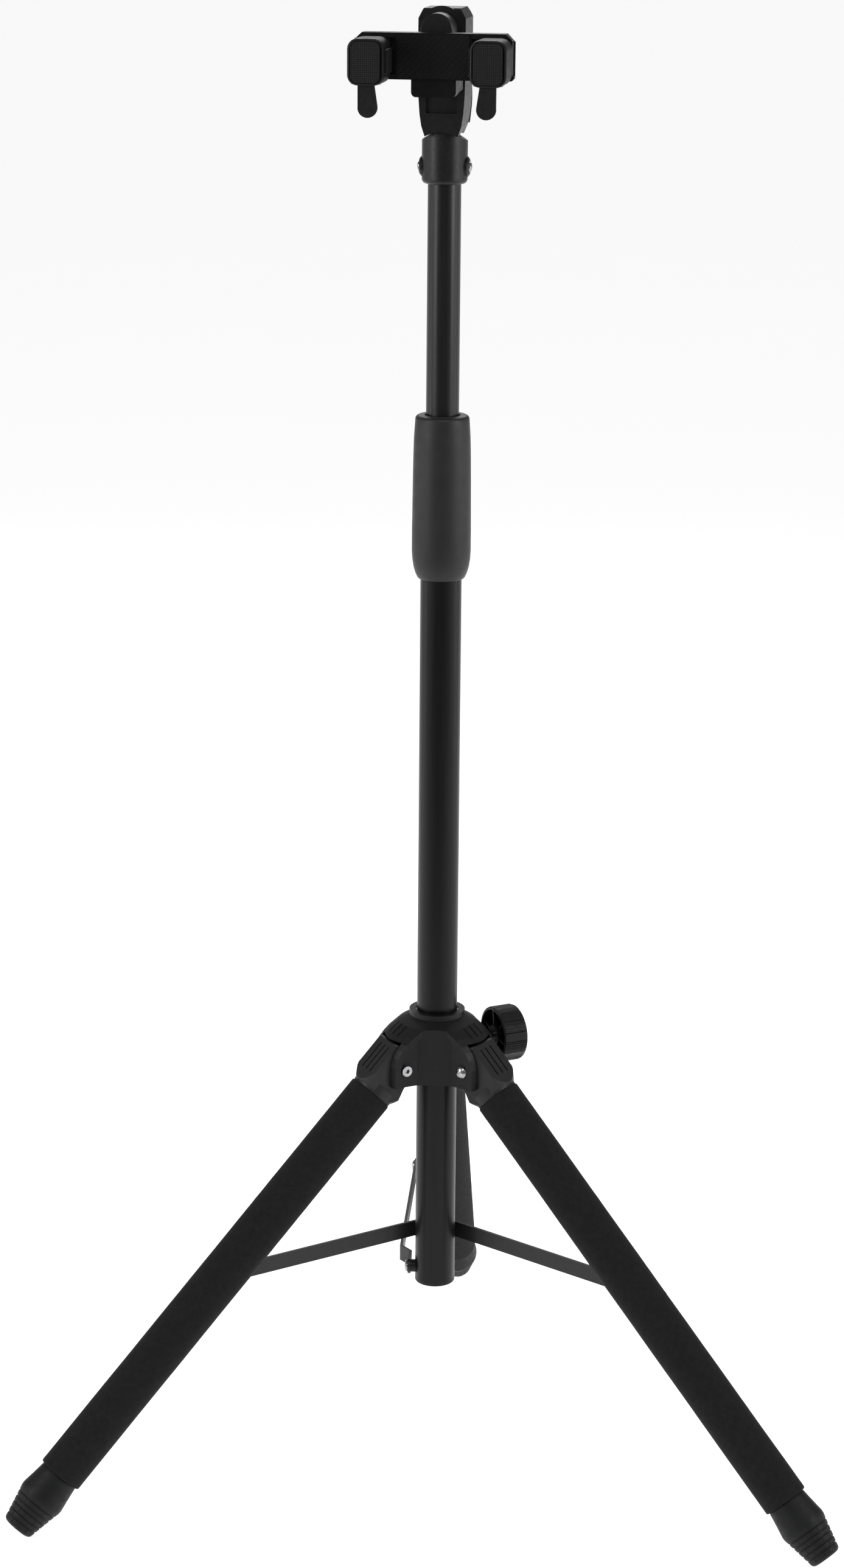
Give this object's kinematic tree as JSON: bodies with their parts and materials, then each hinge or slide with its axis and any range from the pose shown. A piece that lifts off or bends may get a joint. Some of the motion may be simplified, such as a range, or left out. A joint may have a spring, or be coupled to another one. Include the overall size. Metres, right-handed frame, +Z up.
{
  "type": "phone tripod selfie stick",
  "caption": "Floor-standing phone tripod: telescopic mast with a twist lock, a sliding hub with foam-covered braced legs, and a tilting head with a sprung clamp.",
  "frame": {"origin": "on the floor under the mast's axis, legs open", "axes": "+Z up the mast, the phone clamp faces -Y, +X to the right of someone facing the clamp's front from -Y"},
  "size_m": [0.5036, 0.46, 0.9143],
  "materials": {
    "black_tube": "satin",
    "black_plastic": "fine texture",
    "soft_touch": "soft touch",
    "bright_steel": "polished",
    "black_steel": "satin",
    "bearing_plastic": "smooth",
    "brass": "machined",
    "leg_metal": "drawn",
    "foam": "closed-cell foam skin",
    "foot_rubber": "matt"
  },
  "bodies": {
    "mast": {"mast_tube": "black_tube", "mast_end_plug": "black_plastic", "brace_spacers": "black_plastic", "mast_rivets": "bright_steel", "lock_bush": "black_plastic", "lock_collet": "bearing_plastic"},
    "hub": {"hub_crown": "black_plastic", "hub_liner": "bearing_plastic", "leg_bolts": "bright_steel", "leg_nuts": "bright_steel", "knob_insert": "brass"},
    "knob": {"clamp_knob": "black_plastic", "knob_stud": "bright_steel", "knob_pad": "bearing_plastic"},
    "leg_left": {"leg_socket_left": "black_plastic", "leg_tube_left": "leg_metal", "leg_foam_left": "foam", "leg_foot_left": "foot_rubber"},
    "brace_left": {"brace_left": "black_steel", "leg_rivet_left": "bright_steel"},
    "leg_right": {"leg_socket_right": "black_plastic", "leg_tube_right": "leg_metal", "leg_foam_right": "foam", "leg_foot_right": "foot_rubber"},
    "brace_right": {"brace_right": "black_steel", "leg_rivet_right": "bright_steel"},
    "leg_rear": {"leg_socket_rear": "black_plastic", "leg_tube_rear": "leg_metal", "leg_foam_rear": "foam", "leg_foot_rear": "foot_rubber"},
    "brace_rear": {"brace_rear": "black_steel", "leg_rivet_rear": "bright_steel"},
    "twist_lock": {"twist_sleeve": "soft_touch", "twist_cone": "black_plastic"},
    "tube_carriage": {"guide_bush": "bearing_plastic"},
    "upper_mast": {"upper_tube": "black_tube", "head_collar": "black_plastic", "collar_screws": "bright_steel"},
    "head": {"tilt_arm": "black_plastic", "pivot_flange": "black_plastic", "rear_clip": "black_steel", "pivot_screw": "bright_steel"},
    "clamp": {"clamp_housing": "black_plastic", "clamp_pad": "foot_rubber", "clamp_bracket": "black_plastic", "pivot_boss": "black_plastic", "clamp_springs": "bright_steel"},
    "jaw_left": {"slide_left": "black_plastic", "jaw_left": "black_plastic", "jaw_pad_left": "foot_rubber", "jaw_grip_left": "foot_rubber", "tongue_pin_left": "bright_steel"},
    "tongue_left": {"tongue_left": "black_plastic"},
    "jaw_right": {"slide_right": "black_plastic", "jaw_right": "black_plastic", "jaw_pad_right": "foot_rubber", "jaw_grip_right": "foot_rubber", "tongue_pin_right": "bright_steel"},
    "tongue_right": {"tongue_right": "black_plastic"}
  },
  "joints": [
    {"name": "hub_slide", "type": "slide", "parent": "mast", "child": "hub", "axis": [0, 0, 1], "range_m": [0, 0.2136]},
    {"name": "knob_turn", "type": "hinge", "parent": "hub", "child": "knob", "pos_m": [0, 0, 0.275], "axis": [0.8192, 0.5736, 0], "range_deg": [-180, 540]},
    {"name": "leg_left_fold", "type": "hinge", "parent": "hub", "child": "leg_left", "pos_m": [-0.02375, -0.01663, 0.2666], "axis": [0.5736, -0.8192, 0], "range_deg": [0, 43.6]},
    {"name": "brace_left_swing", "type": "hinge", "parent": "mast", "child": "brace_left", "pos_m": [-0.00929, 0.01327, 0.1472], "axis": [-0.5736, 0.8192, 0], "range_deg": [0, 82]},
    {"name": "leg_right_fold", "type": "hinge", "parent": "hub", "child": "leg_right", "pos_m": [0.02628, -0.01226, 0.2666], "axis": [0.4226, 0.9063, 0], "range_deg": [0, 43.6]},
    {"name": "brace_right_swing", "type": "hinge", "parent": "mast", "child": "brace_right", "pos_m": [0.00685, 0.01468, 0.1472], "axis": [-0.4226, -0.9063, 0], "range_deg": [0, 82]},
    {"name": "leg_rear_fold", "type": "hinge", "parent": "hub", "child": "leg_rear", "pos_m": [-0.00253, 0.02889, 0.2666], "axis": [-0.9962, -0.0872, 0], "range_deg": [0, 43.6]},
    {"name": "brace_rear_swing", "type": "hinge", "parent": "mast", "child": "brace_rear", "pos_m": [-0.01614, -0.00141, 0.1255], "axis": [0.9962, 0.0872, 0], "range_deg": [0, 78.2]},
    {"name": "twist_lock_turn", "type": "hinge", "parent": "mast", "child": "twist_lock", "pos_m": [0, 0, 0.62], "axis": [0, 0, 1], "range_deg": [0, 90]},
    {"name": "tube_slide", "type": "slide", "parent": "mast", "child": "tube_carriage", "axis": [0, 0, 1], "range_m": [-0.136, 0.24]},
    {"name": "tube_turn", "type": "hinge", "parent": "tube_carriage", "child": "upper_mast", "pos_m": [0, 0, 0.35], "axis": [0, 0, 1], "range_deg": [-180, 180]},
    {"name": "head_tilt", "type": "hinge", "parent": "upper_mast", "child": "head", "pos_m": [0, 0, 0.8205], "axis": [-1, 0, 0], "range_deg": [0, 80]},
    {"name": "clamp_turn", "type": "hinge", "parent": "head", "child": "clamp", "pos_m": [0, -0.03, 0.9015], "axis": [0, 1, 0], "range_deg": [-90, 90]},
    {"name": "jaw_left_slide", "type": "slide", "parent": "clamp", "child": "jaw_left", "axis": [-1, 0, 0], "range_m": [0, 0.02], "stiffness_N_per_m": 250, "springref_m": -0.02},
    {"name": "jaw_right_slide", "type": "slide", "parent": "clamp", "child": "jaw_right", "axis": [1, 0, 0], "range_m": [0, 0.02], "stiffness_N_per_m": 250, "springref_m": -0.02},
    {"name": "tongue_left_flip", "type": "hinge", "parent": "jaw_left", "child": "tongue_left", "pos_m": [-0.035, -0.0732, 0.8736], "axis": [1, 0, 0], "range_deg": [0, 88]},
    {"name": "tongue_right_flip", "type": "hinge", "parent": "jaw_right", "child": "tongue_right", "pos_m": [0.035, -0.0732, 0.8736], "axis": [1, 0, 0], "range_deg": [0, 88]}
  ],
  "couplings": [
    {"joint": "leg_left_fold", "follows": "hub_slide", "rad_per_m": 3.5567},
    {"joint": "brace_left_swing", "follows": "hub_slide", "rad_per_m": 6.6932},
    {"joint": "leg_right_fold", "follows": "hub_slide", "rad_per_m": 3.5567},
    {"joint": "brace_right_swing", "follows": "hub_slide", "rad_per_m": 6.6932},
    {"joint": "leg_rear_fold", "follows": "hub_slide", "rad_per_m": 3.5567},
    {"joint": "brace_rear_swing", "follows": "hub_slide", "rad_per_m": 6.3672}
  ]
}
